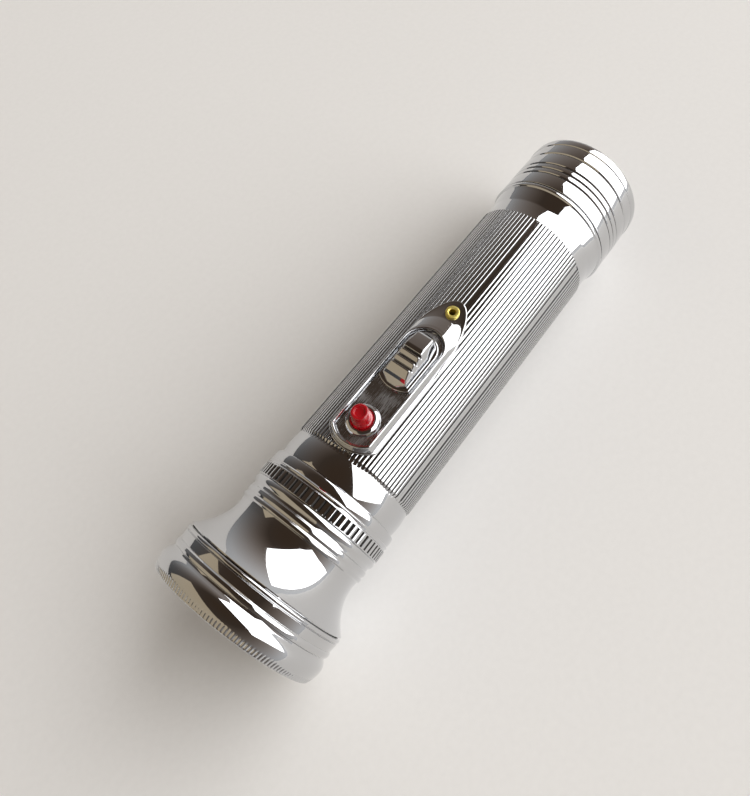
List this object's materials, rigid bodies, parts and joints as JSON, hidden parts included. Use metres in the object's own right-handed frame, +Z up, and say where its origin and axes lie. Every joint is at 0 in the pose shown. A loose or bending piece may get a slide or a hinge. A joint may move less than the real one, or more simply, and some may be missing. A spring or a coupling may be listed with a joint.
{
  "type": "hand torch",
  "caption": "Chrome-plated hand torch for D cells, with a reeded barrel, a top switch plate with thumb slide and red signal button, a flared head, a screwed bezel and a screwed tail cap.",
  "frame": {"origin": "centre of the underside of the bounding box, on the surface the torch lies on", "axes": "+X along the torch towards its tail cap, +Z up through the switch, Y across"},
  "size_m": [0.1736, 0.051, 0.0509],
  "materials": {
    "chrome": "polished chrome plate on drawn brass sheet",
    "brass": "bare polished brass",
    "red_plastic": "moulded translucent red",
    "clear_glass": "clear",
    "mirror": "silvered inside",
    "black_rubber": "matt",
    "fibre": "pressed fibre",
    "spring_steel": "plated wire",
    "plated_steel": "tinned",
    "cell_jacket": "plain blue film jacket",
    "solder": "dull solder"
  },
  "bodies": {
    "barrel": {"barrel": "chrome", "switch_plate": "chrome", "plate_eyelet": "brass", "button_ferrule": "chrome", "button_spring": "spring_steel", "strip_insulator": "fibre", "contact_strip": "brass", "strip_rivet": "brass", "rear_cell": "cell_jacket", "rear_cell_terminal": "plated_steel", "front_cell": "cell_jacket", "front_cell_terminal": "plated_steel"},
    "thumb_slide": {"thumb_slide": "chrome", "slide_clip": "brass"},
    "signal_button": {"signal_button": "red_plastic"},
    "tail_spring": {"tail_spring": "spring_steel"},
    "tail_cap": {"tail_cap": "chrome"},
    "insulating_washer": {"insulating_washer": "fibre"},
    "head": {"head_shell": "chrome", "bulb_socket": "brass", "bulb_contact": "solder", "bulb_base": "brass", "bulb_glass": "clear_glass", "reflector": "mirror"},
    "lens": {"lens_gasket": "black_rubber", "lens_glass": "clear_glass"},
    "bezel": {"bezel_ring": "chrome"}
  },
  "joints": [
    {"name": "switch_slide", "type": "slide", "parent": "barrel", "child": "thumb_slide", "axis": [-0.9995, 0, 0.0312], "range_m": [0, 0.006]},
    {"name": "button_press", "type": "slide", "parent": "barrel", "child": "signal_button", "axis": [-0.0312, 0, -0.9995], "range_m": [0, 0.001], "stiffness_N_per_m": 300, "deforming": ["button_spring"]},
    {"name": "cap_travel", "type": "slide", "parent": "barrel", "child": "tail_spring", "axis": [0.9995, 0, -0.0312], "range_m": [0, 0.0051]},
    {"name": "cap_turn", "type": "hinge", "parent": "tail_spring", "child": "tail_cap", "pos_m": [0.08626, 0, 0.02021], "axis": [0.9995, 0, -0.0312], "range_deg": [0, 900]},
    {"name": "head_travel", "type": "slide", "parent": "barrel", "child": "insulating_washer", "axis": [-0.9995, 0, 0.0312], "range_m": [0, 0.0051]},
    {"name": "head_turn", "type": "hinge", "parent": "insulating_washer", "child": "head", "pos_m": [-0.04498, 0, 0.02431], "axis": [-0.9995, 0, 0.0312], "range_deg": [0, 900]},
    {"name": "bezel_travel", "type": "slide", "parent": "head", "child": "lens", "axis": [-0.9995, 0, 0.0312], "range_m": [0, 0.0051]},
    {"name": "bezel_turn", "type": "hinge", "parent": "lens", "child": "bezel", "pos_m": [-0.07316, 0, 0.02519], "axis": [-0.9995, 0, 0.0312], "range_deg": [0, 900]}
  ],
  "couplings": [
    {"joint": "cap_travel", "follows": "cap_turn", "m_per_rad": 0.00031831},
    {"joint": "head_travel", "follows": "head_turn", "m_per_rad": 0.00031831},
    {"joint": "bezel_travel", "follows": "bezel_turn", "m_per_rad": 0.00031831}
  ]
}
